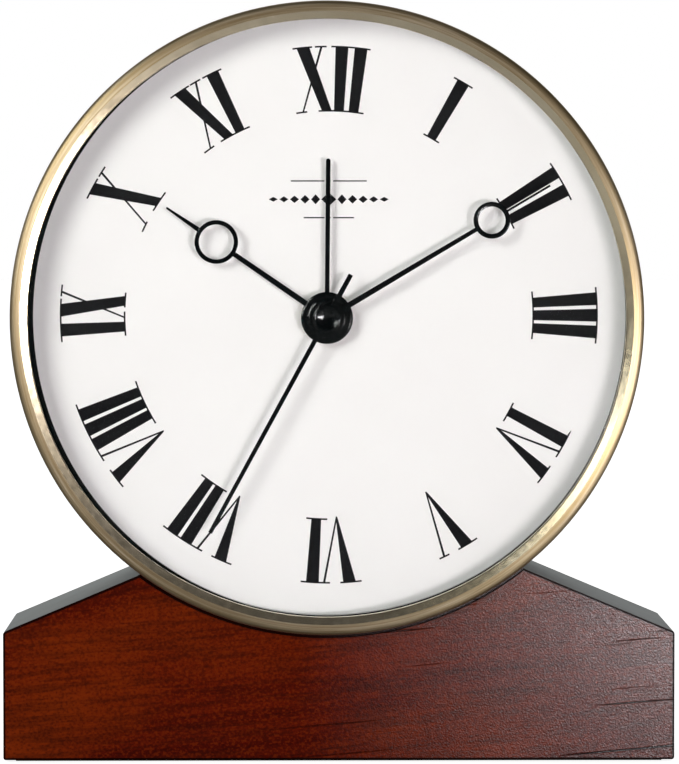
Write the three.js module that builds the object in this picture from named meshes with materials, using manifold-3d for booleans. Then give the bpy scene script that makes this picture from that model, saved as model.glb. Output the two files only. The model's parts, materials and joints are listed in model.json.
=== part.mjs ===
// Mantel clock: a round brass-rimmed quartz alarm clock standing in a cradle cut into a wooden base.
// Millimetres, +Z up. The front faces -Y, and the origin is under the middle of the base, on the table.

import * as THREE from "three";
import { mergeVertices } from "three/addons/utils/BufferGeometryUtils.js";
import Module from "manifold-3d";

const wasm = await Module();
wasm.setup();

// Everything is drawn as seen from the front: x to the right, y up, z towards the viewer.

// Base
const baseWidth = 168;
const baseFront = 21;
const baseBack = -27;
const baseBottom = 0.5;
const baseSideHeight = 32.6;
const baseSlopeRise = 0.42;
const baseEdgeRadius = 0.6;
const cradleRadius = 76.7;
const padInset = 3;
const padThickness = 1;

// Round case: its axis stands left of the middle of the base
const caseX = -3;
const caseY = 111.1;
const drumRadius = 76.4;
const drumInner = 75.4;
const drumBack = -15;
const bezelRadius = 78.75;
const bezelLip = 74.2;
const bezelFront = 27;
const bezelBack = 21.3;
const lensRadius = 76;
const lensBack = 23.2;
const lensFront = 25.2;
const dialRadius = 75.2;
const dialFront = 13.4;
const dialBack = 12.4;

// Case screws come up through the base into a plate inside the drum
const caseScrewSpacing = 20;
const caseScrewRadius = 1.9;
const caseScrewHead = 3.7;
const caseScrewSeat = 22.5;
const caseScrewTip = 41.2;
const nutPlateBottom = 37.6;
const nutPlateHalf = [15, 6];
const nutPlateThickness = 3;

// Rear cover: a dish whose floor lies close behind the movement
const coverRadius = 74;
const coverRecess = 48;
const coverFloorFront = -7.3;
const coverFloorBack = -9.3;
const coverRimFront = -15.1;
const coverRimBack = -17.1;
const coverScrewCircle = 71;

// Movement housing
const movementWidth = 56;
const movementWall = 0.9;
const plateFront = 12.2;
const plateBack = 11;
const housingBack = -5.8;
const housingFloor = -4.6;
const bushRadius = 4;
const bushBore = 3.4;
const bushFront = 16.2;
const batteryY = -19.5;
const batteryZ = 2.2;
const batteryRadius = 7.25;
const batteryBayTop = -11.9;

// Tubes nested around the seconds arbor, inner and outer radius
const arborRadius = 0.5;
const centreTube = [0.75, 1.05];
const cannonTube = [1.15, 1.7];
const hourTube = [1.95, 2.5];
const alarmTube = [2.75, 3.2];

// Hands: back face, length and direction in degrees clockwise from twelve
// Widths are given as half widths, from the hub outward
const handThickness = 0.6;
const alarmHand = { back: 16.6, length: 39.8, angle: 0.5, hub: 5.2, half: 0.58 };
const hourHand = {
  back: 18,
  length: 48.6,
  angle: 304.5,
  ringAt: 33.5,
  ringOuter: 5.45,
  ringInner: 4.35,
  hub: 6.5,
  stem: [0.75, 0.62],
  needle: [0.62, 0.25],
};
const minuteHand = {
  back: 19.4,
  length: 64.7,
  angle: 59.3,
  ringAt: 47.8,
  ringOuter: 4.6,
  ringInner: 3.4,
  hub: 4.9,
  stem: [0.75, 0.54],
  needle: [0.3, 0.27],
};
const secondHand = { back: 20.8, length: 61, angle: 208.6, tail: 12.4, capRadius: 3.5, half: [0.6, 0.52] };

// Wheels: teeth and module
const secondsWheel = { teeth: 36, module: 0.5 };
const secondsPinion = { teeth: 6, module: 0.38 };
const thirdWheel = { teeth: 48, module: 0.38 };
const thirdPinion = { teeth: 6, module: 20.52 / 51 };
const centreWheel = { teeth: 45, module: 20.52 / 51 };
const stepWheel = { teeth: 30, module: 0.4 };
const stepPinion = { teeth: 6, module: 0.5 };
const rotorPinion = { teeth: 6, module: 0.4 };
const cannonPinion = { teeth: 8, module: 0.675 };
const motionWheel = { teeth: 24, module: 0.675 };
const motionPinion = { teeth: 8, module: 0.54 };
const hourWheel = { teeth: 32, module: 0.54 };
const timePinion = { teeth: 12, module: 0.675 };
const alarmWheel = { teeth: 36, module: 0.5 };
const alarmIdler = { teeth: 20, module: 0.5 };
const alarmPinion = { teeth: 14, module: 0.5 };

// Knobs and switch on the back
const knobFront = -10;
const knobBack = -16.5;
const timeKnobRadius = 7;
const alarmKnobRadius = 4.6;
const timeStemRadius = 1.8;
const alarmStemRadius = 1.5;
const switchX = -18.5;
const switchY = 5;
const switchTravel = 4;

// Roundness
const ringSides = 48;
const hubSides = 16;
const pinSides = 10;

const finishes = {
  wood: { color: 0x6b2414, roughness: 0.42, metalness: 0 },
  felt: { color: 0x1f2a22, roughness: 1, metalness: 0 },
  brass: { color: 0xb79f78, roughness: 0.32, metalness: 1 },
  darkSteel: { color: 0x2b2a29, roughness: 0.45, metalness: 0.8 },
  steel: { color: 0xb9bcc0, roughness: 0.3, metalness: 1 },
  glass: { color: 0xffffff, roughness: 0.02, metalness: 0, transparent: true, opacity: 0.2 },
  rubber: { color: 0x151515, roughness: 0.9, metalness: 0 },
  dial: { color: 0xf6f4f1, roughness: 0.75, metalness: 0 },
  blackPaint: { color: 0x0a0a0b, roughness: 0.2, metalness: 0 },
  blackPlastic: { color: 0x1b1b1d, roughness: 0.5, metalness: 0 },
  whitePlastic: { color: 0xe6e4dc, roughness: 0.5, metalness: 0 },
  brassWheel: { color: 0xc7a45a, roughness: 0.35, metalness: 1 },
  copper: { color: 0xa4562c, roughness: 0.35, metalness: 1 },
  board: { color: 0x1d5a35, roughness: 0.5, metalness: 0 },
  cell: { color: 0x2f4f86, roughness: 0.35, metalness: 0.3 },
};

const materials = {};
for (const [name, finish] of Object.entries(finishes)) {
  materials[name] = new THREE.MeshStandardMaterial(finish);
}

// ---- Solids

const radians = THREE.MathUtils.degToRad;

// A closed body from any three.js geometry, with its faces turned outward.
function solid(geometry) {
  const bare = geometry.clone();
  bare.deleteAttribute("normal");
  bare.deleteAttribute("uv");
  const merged = mergeVertices(bare, 1e-4);
  const points = merged.attributes.position;
  const corners = [new THREE.Vector3(), new THREE.Vector3(), new THREE.Vector3()];
  const faces = [];
  let volume = 0;
  for (let i = 0; i < merged.index.count; i += 3) {
    const face = [0, 1, 2].map((k) => merged.index.getX(i + k));
    if (new Set(face).size < 3) continue;
    corners.forEach((corner, k) => corner.fromBufferAttribute(points, face[k]));
    volume += corners[0].dot(corners[1].clone().cross(corners[2]));
    faces.push(face);
  }
  if (volume < 0) faces.forEach((face) => face.reverse());
  const triVerts = new Uint32Array(faces.flat());
  const vertProperties = new Float32Array(points.array);
  return new wasm.Manifold(new wasm.Mesh({ numProp: 3, vertProperties, triVerts }));
}

// A profile of [radius, z] points turned about the z axis.
function turned(profile, sides = ringSides) {
  const points = profile.map(([radius, z]) => new THREE.Vector2(radius, z));
  const start = points[0];
  const end = points[points.length - 1];
  if (start.x > 0 || end.x > 0) points.push(start.clone());
  const geometry = new THREE.LatheGeometry(points, sides);
  geometry.rotateX(Math.PI / 2);
  return solid(geometry);
}

function rod(radius, back, front, x = 0, y = 0, sides = pinSides) {
  const geometry = new THREE.CylinderGeometry(radius, radius, front - back, sides);
  geometry.rotateX(Math.PI / 2);
  geometry.translate(x, y, (back + front) / 2);
  return solid(geometry);
}

function pipe([inner, outer], back, front, sides = hubSides) {
  return turned([[inner, back], [outer, back], [outer, front], [inner, front]], sides);
}

function block([left, right], [bottom, top], [back, front]) {
  const geometry = new THREE.BoxGeometry(right - left, top - bottom, front - back);
  geometry.translate((left + right) / 2, (bottom + top) / 2, (back + front) / 2);
  return solid(geometry);
}

function plate(shape, back, front, curveSegments = 8) {
  const depth = front - back;
  const geometry = new THREE.ExtrudeGeometry(shape, { depth, bevelEnabled: false, curveSegments });
  geometry.translate(0, 0, back);
  return solid(geometry);
}

function roundedRectangle(width, height, radius) {
  const shape = new THREE.Shape();
  const x = width / 2 - radius;
  const y = height / 2 - radius;
  shape.absarc(x, y, radius, 0, Math.PI / 2);
  shape.absarc(-x, y, radius, Math.PI / 2, Math.PI);
  shape.absarc(-x, -y, radius, Math.PI, Math.PI * 1.5);
  shape.absarc(x, -y, radius, Math.PI * 1.5, Math.PI * 2);
  return shape;
}

function join(...bodies) {
  return bodies.reduce((whole, body) => whole.add(body));
}

function cut(body, ...tools) {
  return tools.reduce((rest, tool) => rest.subtract(tool), body);
}

function piece(name, body, finish, x = 0, y = 0, angle = 0) {
  const { vertProperties, triVerts } = body.getMesh();
  const geometry = new THREE.BufferGeometry();
  geometry.setAttribute("position", new THREE.BufferAttribute(new Float32Array(vertProperties), 3));
  geometry.setIndex(new THREE.BufferAttribute(new Uint32Array(triVerts), 1));
  geometry.computeVertexNormals();
  const mesh = new THREE.Mesh(geometry, materials[finish]);
  mesh.name = name;
  mesh.position.set(x, y, 0);
  mesh.rotation.z = -radians(angle);
  return mesh;
}

// ---- Wheels

// A disc of straight-sided teeth. The phase is the direction of one tooth's middle, in radians.
function toothed({ teeth, module }, phase, back, front) {
  const pinion = teeth <= 14;
  const tip = (teeth / 2 + (pinion ? 0.6 : 0.75)) * module;
  const root = (teeth / 2 - 1.15) * module;
  const tipShare = pinion ? 0.09 : 0.12;
  const rootShare = pinion ? 0.17 : 0.24;
  const pitch = (2 * Math.PI) / teeth;
  const outline = [[root, -rootShare], [tip, -tipShare], [tip, tipShare], [root, rootShare]];
  const points = [];
  for (let tooth = 0; tooth < teeth; tooth++) {
    for (const [radius, share] of outline) {
      const angle = phase + (tooth + share) * pitch;
      points.push(new THREE.Vector2(radius * Math.cos(angle), radius * Math.sin(angle)));
    }
  }
  return plate(new THREE.Shape(points), back, front);
}

// The phase that puts a gap of the driven wheel on a tooth of the driver, seen in the given direction.
function inMesh(driver, driverPhase, direction, driven) {
  const along = ((direction - driverPhase) * driver.teeth) / (2 * Math.PI);
  return direction + Math.PI - ((0.5 - along) * 2 * Math.PI) / driven.teeth;
}

// A centre one wheel distance away from another, in a direction in degrees.
function beside([x, y], one, other, direction) {
  const distance = ((one.teeth + other.teeth) * one.module) / 2;
  return [x + distance * Math.cos(radians(direction)), y + distance * Math.sin(radians(direction))];
}

const centre = [0, 0];
const stepDirection = 110;
const rotorDirection = 60;
const timeKnobDirection = 50;
const alarmDirection = -15;
const stepCentre = beside(centre, secondsWheel, stepPinion, stepDirection);
const rotorCentre = beside(stepCentre, stepWheel, rotorPinion, rotorDirection);
const thirdCentre = beside(centre, secondsPinion, thirdWheel, 180);
const motionCentre = beside(centre, cannonPinion, motionWheel, 0);
const timeCentre = beside(motionCentre, motionWheel, timePinion, timeKnobDirection);
const idlerCentre = beside(centre, alarmWheel, alarmIdler, alarmDirection);
const alarmCentre = beside(idlerCentre, alarmIdler, alarmPinion, alarmDirection);

// ---- Base

function makeBase() {
  const half = baseWidth / 2 - baseEdgeRadius;
  const bottom = baseBottom + baseEdgeRadius;
  const side = baseSideHeight - baseEdgeRadius;
  const peak = side + baseSlopeRise * half;
  const outline = new THREE.Shape();
  outline.moveTo(-half, bottom);
  outline.lineTo(half, bottom);
  outline.lineTo(half, side);
  outline.lineTo(0, peak);
  outline.lineTo(-half, side);
  const geometry = new THREE.ExtrudeGeometry(outline, {
    depth: baseFront - baseBack - 2 * baseEdgeRadius,
    bevelThickness: baseEdgeRadius,
    bevelSize: baseEdgeRadius,
    bevelSegments: 2,
  });
  geometry.translate(0, 0, baseBack + baseEdgeRadius);
  const cradle = rod(cradleRadius, baseBack - 1, baseFront + 1, caseX, caseY, ringSides);
  const padPocket = block(
    [-baseWidth / 2 + padInset - 0.3, baseWidth / 2 - padInset + 0.3],
    [-1, padThickness + 0.1],
    [baseBack + padInset - 0.3, baseFront - padInset + 0.3],
  );
  const screwHoles = [];
  for (const side of [-1, 1]) {
    const x = caseX + (side * caseScrewSpacing) / 2;
    screwHoles.push(upright(caseScrewHead + 0.8, -1, caseScrewSeat, x));
    screwHoles.push(upright(caseScrewRadius + 0.3, 0, caseY, x));
  }
  return cut(solid(geometry), cradle, padPocket, ...screwHoles);
}

// A round post standing on the base's middle line.
function upright(radius, bottom, top, x, sides = hubSides) {
  const geometry = new THREE.CylinderGeometry(radius, radius, top - bottom, sides);
  geometry.translate(x, (bottom + top) / 2, 0);
  return solid(geometry);
}

function makePad() {
  const halfWidth = baseWidth / 2 - padInset;
  return block([-halfWidth, halfWidth], [0, padThickness], [baseBack + padInset, baseFront - padInset]);
}

function makeCaseScrew() {
  const headHeight = 2.6;
  const head = upright(caseScrewHead, caseScrewSeat - 0.1 - headHeight, caseScrewSeat - 0.1, 0);
  return join(head, upright(caseScrewRadius, caseScrewSeat - 1, caseScrewTip, 0));
}

function makeNutPlate() {
  const [halfWidth, halfDepth] = nutPlateHalf;
  const top = nutPlateBottom + nutPlateThickness;
  const body = block([-halfWidth, halfWidth], [nutPlateBottom, top], [-halfDepth, halfDepth]);
  const places = [-caseScrewSpacing / 2, caseScrewSpacing / 2];
  const holes = places.map((x) => upright(caseScrewRadius + 0.1, 0, caseY, x));
  return cut(body, ...holes);
}

// ---- Case

function makeDrum() {
  const body = turned([
    [78, bezelBack + 0.1],
    [78, bezelBack + 1],
    [drumInner, bezelBack + 1],
    [drumInner, dialBack - 0.1],
    [drumInner - 2, dialBack - 0.1],
    [drumInner - 2, dialBack - 1.1],
    [drumInner, dialBack - 1.1],
    [drumInner, drumBack + 1.2],
    [68, drumBack + 1.2],
    [68, drumBack],
    [drumRadius, drumBack],
    [drumRadius, bezelBack + 0.1],
  ]);
  const below = [-1, 1].map((side) => {
    const hole = upright(caseScrewRadius + 0.3, 30, 60, (side * caseScrewSpacing) / 2);
    return hole.translate([0, -caseY, 0]);
  });
  const rear = coverScrewPlaces().map(([x, y]) => rod(1.4, drumBack - 1, drumBack + 2, x, y));
  return cut(body, ...below, ...rear);
}

function makeBezel() {
  const crown = [];
  const crownSteps = 6;
  const crownMiddle = 76.2;
  const crownFoot = 22.8;
  for (let step = 0; step <= crownSteps; step++) {
    const angle = (Math.PI * step) / crownSteps;
    const reach = angle < Math.PI / 2 ? bezelRadius - crownMiddle : crownMiddle - bezelLip;
    const rise = (bezelFront - crownFoot) * Math.sin(angle) ** 0.8;
    crown.push([crownMiddle + reach * Math.cos(angle), crownFoot + rise]);
  }
  const rounded = crown.filter(([radius, z]) => radius > crownMiddle - 0.01 || z > lensFront + 0.5);
  return turned([
    [bezelRadius, bezelBack],
    ...rounded,
    [bezelLip, lensFront + 0.1],
    [lensRadius + 0.1, lensFront + 0.1],
    [lensRadius + 0.1, bezelBack + 1.1],
    [78.1, bezelBack + 1.1],
    [78.1, bezelBack],
  ]);
}

function makeRearCover() {
  const dish = turned([
    [0, coverFloorFront],
    [coverRecess + 2, coverFloorFront],
    [coverRecess + 2, coverRimFront],
    [coverRadius, coverRimFront],
    [coverRadius, coverRimBack],
    [coverRecess, coverRimBack],
    [coverRecess, coverFloorBack],
    [0, coverFloorBack],
  ]);
  const beyond = [coverFloorBack - 1, coverFloorFront + 1];
  const tools = [
    block([-26, 26], [batteryY - 7.5, batteryY + 7.5], beyond),
    block([-27, 27], [batteryY - 8.5, batteryY + 8.5], [coverFloorBack - 1, coverFloorBack + 1.3]),
    rod(timeStemRadius + 0.6, ...beyond, ...timeCentre, hubSides),
    rod(alarmStemRadius + 0.6, ...beyond, ...alarmCentre, hubSides),
    block([switchX - 1.9, switchX + 1.9 + switchTravel], [switchY - 1.8, switchY + 1.8], beyond),
  ];
  for (let slot = 0; slot < 4; slot++) {
    const y = -4 + slot * 4;
    tools.push(block([-42, -32], [y - 0.8, y + 0.8], beyond));
  }
  for (const [x, y] of coverScrewPlaces()) {
    tools.push(rod(1.5, coverRimBack - 1, coverRimFront + 1, x, y));
  }
  return cut(dish, ...tools);
}

function coverScrewPlaces() {
  return [45, 135, 225, 315].map((direction) => {
    const angle = radians(direction);
    return [coverScrewCircle * Math.cos(angle), coverScrewCircle * Math.sin(angle)];
  });
}

function makeCoverScrew() {
  const seat = coverRimBack - 0.1;
  const tip = -12.8;
  const head = [[0, seat - 1.4], [1.9, seat - 1.4], [2.6, seat - 0.7], [2.6, seat]];
  return turned([...head, [1.2, seat], [1.2, tip], [0, tip]], hubSides);
}

function makeBatteryDoor() {
  const leafFront = coverFloorBack + 1.2;
  const leaf = block([-26.7, 26.7], [batteryY - 8.2, batteryY + 8.2], [coverFloorBack, leafFront]);
  const grips = [-1, 0, 1].map((row) => {
    const y = batteryY + row * 2;
    return block([-6, 6], [y - 0.4, y + 0.4], [coverFloorBack - 0.6, coverFloorBack + 0.5]);
  });
  return join(leaf, ...grips);
}

// ---- Movement

function makeMovementFront() {
  const body = join(
    plate(roundedRectangle(movementWidth, movementWidth, 3), plateBack, plateFront),
    pipe([bushBore, bushRadius], plateBack, bushFront),
    rod(0.8, 9.2, plateBack + 0.5, ...idlerCentre),
  );
  return cut(body, rod(bushBore, plateBack - 1, bushFront + 1, 0, 0, hubSides));
}

function makeMovementRear() {
  const half = movementWidth / 2 - movementWall;
  const rear = housingBack - 1;
  const front = plateBack;
  const tools = [
    block([-half, half], [batteryBayTop + 0.8, half], [housingFloor, front]),
    block([-half, half], [-half, batteryBayTop], [rear, front]),
    rod(timeStemRadius + 0.4, rear, front, ...timeCentre, hubSides),
    rod(alarmStemRadius + 0.4, rear, front, ...alarmCentre, hubSides),
  ];
  for (const pivot of [centre, stepCentre, rotorCentre, thirdCentre, motionCentre]) {
    tools.push(rod(arborRadius + 0.15, rear, front, ...pivot));
  }
  const shell = plate(roundedRectangle(movementWidth, movementWidth, 3), housingBack, plateBack - 0.1);
  return cut(shell, ...tools);
}

function makeHexNut() {
  const acrossCorners = 5.5;
  return cut(rod(acrossCorners, 13.95, 15.9, 0, 0, 6), rod(bushRadius + 0.15, 12, 18, 0, 0, hubSides));
}

function makeStator() {
  const [x, y] = rotorCentre;
  return cut(
    block([-14, 14], [11.6, 25], [1.9, 3.3]),
    block([-11.6, 11.6], [20.9, 23.4], [0, 5]),
    rod(3.5, 0, 5, x, y, hubSides),
  );
}

// A reel of wire lying along x, hollow for the stator's upper bar.
function makeCoil() {
  const half = [[1.3, 11], [2.45, 11], [2.45, 10.2], [2.1, 10.2]];
  const profile = [...half.map(([radius, x]) => [radius, -x]), ...half.reverse()];
  return turned(profile, pinSides).rotate([0, 90, 0]).translate([0, 24.2, 2.6]);
}

function makeBoard() {
  return cut(block([-24, 13], [11, 26], [-4.2, -3.4]), rod(1.2, -5, 0, ...rotorCentre));
}

function makeBattery() {
  const can = [[0, -25], [batteryRadius, -25], [batteryRadius, 24.5]];
  const nub = [[2.75, 24.5], [2.75, 25.5], [0, 25.5]];
  return turned([...can, ...nub], hubSides).rotate([0, 90, 0]).translate([0, batteryY, batteryZ]);
}

function makePositiveContact() {
  const leaf = block([25.7, 26.1], [batteryY - 4.5, batteryY + 4.5], [batteryZ - 4, batteryZ + 6]);
  return join(leaf, block([25.7, 27], [batteryY - 2, batteryY + 2], [batteryZ + 5.6, batteryZ + 6]));
}

// A flat plate with a tapering spring that presses on the battery's end.
function makeSpringContact() {
  const turns = 2.5;
  const points = [];
  for (let step = 0; step <= 24; step++) {
    const along = step / 24;
    const angle = along * turns * 2 * Math.PI;
    const radius = 4 - 2.2 * along;
    const x = -26.65 + 1.3 * along;
    points.push(new THREE.Vector3(x, radius * Math.cos(angle), radius * Math.sin(angle)));
  }
  const wire = new THREE.Shape();
  wire.absarc(0, 0, 0.2, 0, 2 * Math.PI);
  const geometry = new THREE.ExtrudeGeometry(wire, {
    extrudePath: new THREE.CatmullRomCurve3(points),
    steps: 36,
    curveSegments: 3,
  });
  geometry.translate(0, batteryY, batteryZ);
  const leaf = block([-27, -26.6], [batteryY - 5, batteryY + 5], [batteryZ - 5, batteryZ + 5]);
  return join(solid(geometry), leaf);
}

function makeRotor() {
  return join(
    rod(arborRadius, -5.4, 7.5),
    toothed(rotorPinion, inMesh(stepWheel, 0, radians(rotorDirection), rotorPinion), -1.1, 1.3),
    rod(3, 1.2, 4.2, 0, 0, hubSides),
  );
}

function makeStepWheel() {
  return join(
    rod(arborRadius, -5.4, 7.5),
    toothed(stepWheel, 0, -0.7, 0.1),
    toothed(stepPinion, inMesh(secondsWheel, 0, radians(stepDirection), stepPinion), -2.6, -0.6),
  );
}

function makeSecondsWheel() {
  return join(
    rod(arborRadius, -5.4, secondHand.back + 0.9),
    toothed(secondsWheel, 0, -2.2, -1.2),
    rod(1.2, -1.3, 0.3),
    toothed(secondsPinion, 0, 0.2, 2),
  );
}

function makeThirdWheel() {
  return join(
    rod(arborRadius, -5.4, 7.5),
    toothed(thirdWheel, inMesh(secondsPinion, 0, Math.PI, thirdWheel), 0.6, 1.6),
    rod(1.2, 1.5, 3.3),
    toothed(thirdPinion, 0, 3.2, 5),
  );
}

function makeCentreWheel() {
  const body = join(
    toothed(centreWheel, inMesh(thirdPinion, 0, 0, centreWheel), 3.6, 4.6),
    rod(1.6, 2.8, 5.2, 0, 0, hubSides),
    rod(centreTube[1], 2.4, 7, 0, 0, hubSides),
  );
  return cut(body, rod(centreTube[0], 0, 9, 0, 0, hubSides));
}

function makeMinutePinion() {
  const body = join(
    rod(cannonTube[1], 5.4, minuteHand.back + handThickness, 0, 0, hubSides),
    toothed(cannonPinion, 0, 5.4, 7.4),
  );
  return cut(body, rod(cannonTube[0], 0, 30, 0, 0, hubSides));
}

const motionPhase = inMesh(cannonPinion, 0, 0, motionWheel);
const idlerPhase = inMesh(alarmWheel, 0, radians(alarmDirection), alarmIdler);

function makeMotionWheel() {
  return join(
    rod(arborRadius, -5.4, 9.4),
    toothed(motionWheel, motionPhase, 6, 7),
    toothed(motionPinion, 0, 6.9, 9.4),
  );
}

function makeHourWheel() {
  const body = join(
    toothed(hourWheel, inMesh(motionPinion, 0, Math.PI, hourWheel), 8, 9),
    rod(hourTube[1], 8, hourHand.back + handThickness, 0, 0, hubSides),
  );
  return cut(body, rod(hourTube[0], 0, 30, 0, 0, hubSides));
}

function makeAlarmWheel() {
  const body = join(
    toothed(alarmWheel, 0, 9.6, 10.6),
    rod(alarmTube[1], 9.6, alarmHand.back + handThickness, 0, 0, hubSides),
  );
  return cut(body, rod(alarmTube[0], 0, 30, 0, 0, hubSides));
}

function makeAlarmIdler() {
  return cut(toothed(alarmIdler, idlerPhase, 9.6, 10.6), rod(0.95, 0, 20));
}

function makeTimeKnob() {
  return join(
    toothed(timePinion, inMesh(motionWheel, motionPhase, radians(timeKnobDirection), timePinion), 5.9, 7.1),
    rod(timeStemRadius, knobFront - 1, 6, 0, 0, hubSides),
    turned(knobProfile(timeKnobRadius), hubSides),
  );
}

function makeAlarmKnob() {
  return join(
    toothed(alarmPinion, inMesh(alarmIdler, idlerPhase, radians(alarmDirection), alarmPinion), 9.4, 10.7),
    rod(alarmStemRadius, knobFront - 1, 9.5, 0, 0, hubSides),
    turned(knobProfile(alarmKnobRadius), hubSides),
  );
}

function knobProfile(radius) {
  const rim = [[radius - 0.8, knobBack], [radius, knobBack + 0.8], [radius, knobFront]];
  return [[0, knobBack], ...rim, [0, knobFront]];
}

function makeAlarmSwitch() {
  const slider = block([switchX - 5.5, switchX + 5.5], [switchY - 3, switchY + 3], [-7.2, -6]);
  return join(slider, block([switchX - 1.5, switchX + 1.5], [switchY - 1.5, switchY + 1.5], [-10.6, -7.1]));
}

// ---- Hands, each drawn pointing to twelve

// A flat bar standing on the y axis, with a half width at each end.
function bar([startHalf, endHalf], start, end, back) {
  const corners = [[-startHalf, start], [startHalf, start], [endHalf, end], [-endHalf, end]];
  const shape = new THREE.Shape(corners.map(([x, y]) => new THREE.Vector2(x, y)));
  return plate(shape, back, back + handThickness);
}

// A stem from the hub to an open ring, then a needle from the ring to the tip.
function makeRingHand({ back, length, ringAt, ringOuter, ringInner, hub, stem, needle }, tubeOuter) {
  const front = back + handThickness;
  const ringMiddle = (ringOuter + ringInner) / 2;
  const body = join(
    bar(stem, 0, ringAt - ringMiddle, back),
    rod(hub, back, front, 0, 0, 2 * hubSides),
    rod(ringOuter, back, front, 0, ringAt, 2 * hubSides),
  );
  const open = cut(body, rod(ringInner, 0, 40, 0, ringAt, 2 * hubSides), handBore(tubeOuter));
  return join(open, bar(needle, ringAt + ringMiddle, length, back));
}

function handBore(tubeOuter) {
  return rod(tubeOuter + 0.12, 0, 40, 0, 0, hubSides);
}

function makeSecondHand() {
  const { back, length, tail, capRadius, half } = secondHand;
  const rim = [[capRadius, back], [capRadius, back + 0.9], [capRadius - 0.6, back + 1.5]];
  const cap = [[0, back], ...rim, [0, back + 1.6]];
  const body = join(bar(half, -tail, length, back), turned(cap, 2 * hubSides));
  return cut(body, rod(arborRadius + 0.1, 0, back + 1.1));
}

function makeAlarmHand() {
  const { back, length, hub, half } = alarmHand;
  const body = join(
    bar([half, half], 0, length - half, back),
    rod(half, back, back + handThickness, 0, length - half, hubSides),
    rod(hub, back, back + handThickness, 0, 0, 2 * hubSides),
  );
  return cut(body, handBore(alarmTube[1]));
}

function makeLens() {
  return turned([[0, lensBack], [lensRadius, lensBack], [lensRadius, lensFront], [0, lensFront]]);
}

// ---- The clock

const clockCase = new THREE.Group();
clockCase.position.set(caseX, caseY, 0);
clockCase.add(
  piece("case_drum", makeDrum(), "darkSteel"),
  piece("bezel", makeBezel(), "brass"),
  piece("lens", makeLens(), "glass"),
  piece("lens_gasket", pipe([74.9, lensRadius], lensBack - 0.8, lensBack - 0.1, ringSides), "rubber"),
  piece("dial_ring", pipe([74.8, 75.3], dialFront + 0.1, lensBack - 0.9, ringSides), "blackPaint"),
  piece("dial", pipe([bushRadius + 0.3, dialRadius], dialBack, dialFront, ringSides), "dial"),
  piece("dial_washer", pipe([bushRadius + 0.2, 5.9], dialFront + 0.05, dialFront + 0.5), "steel"),
  piece("dial_nut", makeHexNut(), "brassWheel"),
  piece("rear_cover", makeRearCover(), "blackPlastic"),
  piece("battery_door", makeBatteryDoor(), "blackPlastic"),
  piece("movement_front", makeMovementFront(), "blackPlastic"),
  piece("movement_rear", makeMovementRear(), "blackPlastic"),
  piece("battery", makeBattery(), "cell"),
  piece("battery_contact", makePositiveContact(), "steel"),
  piece("battery_spring", makeSpringContact(), "steel"),
  piece("circuit_board", makeBoard(), "board"),
  piece("stator", makeStator(), "steel"),
  piece("coil", makeCoil(), "copper"),
  piece("sounder", rod(6, 4, 9, -19.5, 2.5, hubSides), "blackPlastic"),
  piece("rotor", makeRotor(), "darkSteel", ...rotorCentre),
  piece("step_wheel", makeStepWheel(), "whitePlastic", ...stepCentre),
  piece("seconds_wheel", makeSecondsWheel(), "whitePlastic"),
  piece("third_wheel", makeThirdWheel(), "whitePlastic", ...thirdCentre),
  piece("centre_wheel", makeCentreWheel(), "whitePlastic"),
  piece("minute_pinion", makeMinutePinion(), "brassWheel"),
  piece("motion_wheel", makeMotionWheel(), "whitePlastic", ...motionCentre),
  piece("hour_wheel", makeHourWheel(), "whitePlastic"),
  piece("alarm_wheel", makeAlarmWheel(), "whitePlastic"),
  piece("alarm_idler", makeAlarmIdler(), "whitePlastic", ...idlerCentre),
  piece("time_knob", makeTimeKnob(), "blackPlastic", ...timeCentre),
  piece("alarm_knob", makeAlarmKnob(), "blackPlastic", ...alarmCentre),
  piece("alarm_switch", makeAlarmSwitch(), "blackPlastic"),
  piece("alarm_hand", makeAlarmHand(), "blackPaint", 0, 0, alarmHand.angle),
  piece("hour_hand", makeRingHand(hourHand, hourTube[1]), "blackPaint", 0, 0, hourHand.angle),
  piece("minute_hand", makeRingHand(minuteHand, cannonTube[1]), "blackPaint", 0, 0, minuteHand.angle),
  piece("second_hand", makeSecondHand(), "blackPaint", 0, 0, secondHand.angle),
);

coverScrewPlaces().forEach(([x, y], index) => {
  clockCase.add(piece(`cover_screw_${index + 1}`, makeCoverScrew(), "steel", x, y));
});

const clock = new THREE.Group();
clock.rotation.x = Math.PI / 2;
clock.add(
  clockCase,
  piece("base", makeBase(), "wood"),
  piece("base_pad", makePad(), "felt"),
  piece("nut_plate", makeNutPlate(), "steel", caseX, 0),
  piece("case_screw_left", makeCaseScrew(), "steel", caseX - caseScrewSpacing / 2, 0),
  piece("case_screw_right", makeCaseScrew(), "steel", caseX + caseScrewSpacing / 2, 0),
);

export default clock;
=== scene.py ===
import json
import math

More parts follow.
